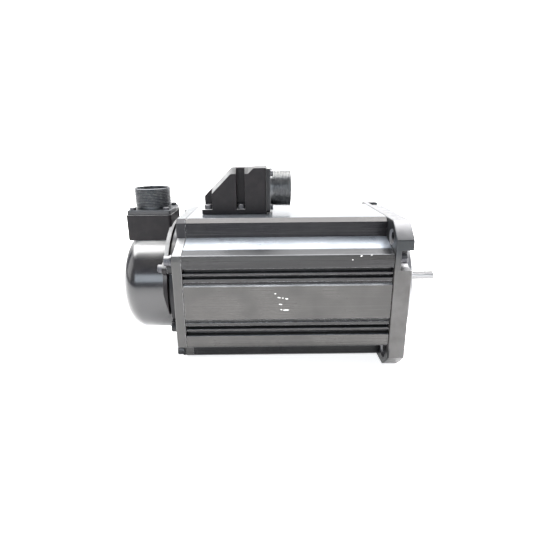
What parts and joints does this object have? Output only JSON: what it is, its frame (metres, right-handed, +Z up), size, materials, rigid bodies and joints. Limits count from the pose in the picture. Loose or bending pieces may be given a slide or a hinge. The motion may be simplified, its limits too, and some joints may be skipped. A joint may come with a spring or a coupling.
{
  "type": "servo motor",
  "caption": "Brushless servo motor with a square mounting flange, slotted black frame, thin output shaft, round rear encoder cover and two threaded connectors on top.",
  "frame": {"origin": "middle of the rectangle that the motor stands on, at the level of the flange's lower edge", "axes": "+X along the shaft and out of the mounting flange, +Z up towards the connectors, +Y to the left when looking along +X"},
  "size_m": [0.2876, 0.13, 0.1698],
  "materials": {
    "frame_black": "black anodised extrusion, semi-gloss",
    "cast_black": "black painted casting, machined faces, semi-gloss",
    "cover_black": "gloss black enamel on drawn sheet",
    "box_black": "matt black paint on a die casting, fine grain",
    "shell_grey": "olive-grey anodised connector shell",
    "insert_black": "moulded thermoset, satin",
    "contact_metal": "gold-flashed contact",
    "rubber_black": "nitrile rubber, matt",
    "steel_bright": "turned and ground steel, fine lathe marks",
    "screw_black": "black oxide, satin",
    "lamination": "stacked electrical steel, varnished",
    "winding_copper": "enamelled copper wire, laced and varnished",
    "magnet": "nickel-plated magnet segments",
    "disc_glass": "clear disc with fine dark graduations",
    "board_green": "solder-masked circuit board"
  },
  "bodies": {
    "stator": {"stator_frame": "frame_black", "front_flange": "cast_black", "rear_bracket": "cast_black", "encoder_cover": "cover_black", "power_box": "box_black", "encoder_housing": "box_black", "encoder_base": "box_black", "encoder_connector_shell": "shell_grey", "power_connector_shell": "shell_grey", "encoder_connector_insert": "insert_black", "power_connector_insert": "insert_black", "encoder_read_head": "insert_black", "power_connector_pin_1": "contact_metal", "power_connector_pin_2": "contact_metal", "power_connector_pin_3": "contact_metal", "power_connector_pin_4": "contact_metal", "encoder_connector_gasket": "rubber_black", "power_connector_gasket": "rubber_black", "oil_seal": "rubber_black", "front_bearing_outer_ring": "steel_bright", "rear_bearing_outer_ring": "steel_bright", "wave_spring": "steel_bright", "flange_screw_1": "screw_black", "flange_screw_2": "screw_black", "flange_screw_3": "screw_black", "flange_screw_4": "screw_black", "bracket_screw_1": "screw_black", "bracket_screw_2": "screw_black", "bracket_screw_3": "screw_black", "bracket_screw_4": "screw_black", "encoder_screw_1": "screw_black", "encoder_screw_2": "screw_black", "encoder_connector_screw_1": "screw_black", "encoder_connector_screw_2": "screw_black", "encoder_connector_screw_3": "screw_black", "encoder_connector_screw_4": "screw_black", "power_connector_screw_1": "screw_black", "power_connector_screw_2": "screw_black", "power_connector_screw_3": "screw_black", "power_connector_screw_4": "screw_black", "power_box_screw_1": "screw_black", "power_box_screw_2": "screw_black", "power_box_screw_3": "screw_black", "power_box_screw_4": "screw_black", "stator_core": "lamination", "winding_end_rear": "winding_copper", "winding_end_front": "winding_copper", "encoder_board": "board_green"},
    "rotor": {"shaft": "steel_bright", "rotor_core": "lamination", "magnet_ring": "magnet", "front_bearing_inner_ring": "steel_bright", "rear_bearing_inner_ring": "steel_bright", "encoder_hub": "steel_bright", "encoder_disc": "disc_glass"},
    "front_balls": {"front_bearing_balls": "steel_bright"},
    "rear_balls": {"rear_bearing_balls": "steel_bright"}
  },
  "joints": [
    {"name": "shaft_spin", "type": "hinge", "parent": "stator", "child": "rotor", "pos_m": [0, 0, 0.065], "axis": [1, 0, 0], "continuous": true},
    {"name": "front_balls_orbit", "type": "hinge", "parent": "stator", "child": "front_balls", "pos_m": [0, 0, 0.065], "axis": [1, 0, 0], "continuous": true},
    {"name": "rear_balls_orbit", "type": "hinge", "parent": "stator", "child": "rear_balls", "pos_m": [0, 0, 0.065], "axis": [1, 0, 0], "continuous": true}
  ],
  "couplings": [
    {"joint": "front_balls_orbit", "follows": "shaft_spin", "ratio": 0.379},
    {"joint": "rear_balls_orbit", "follows": "shaft_spin", "ratio": 0.38}
  ]
}
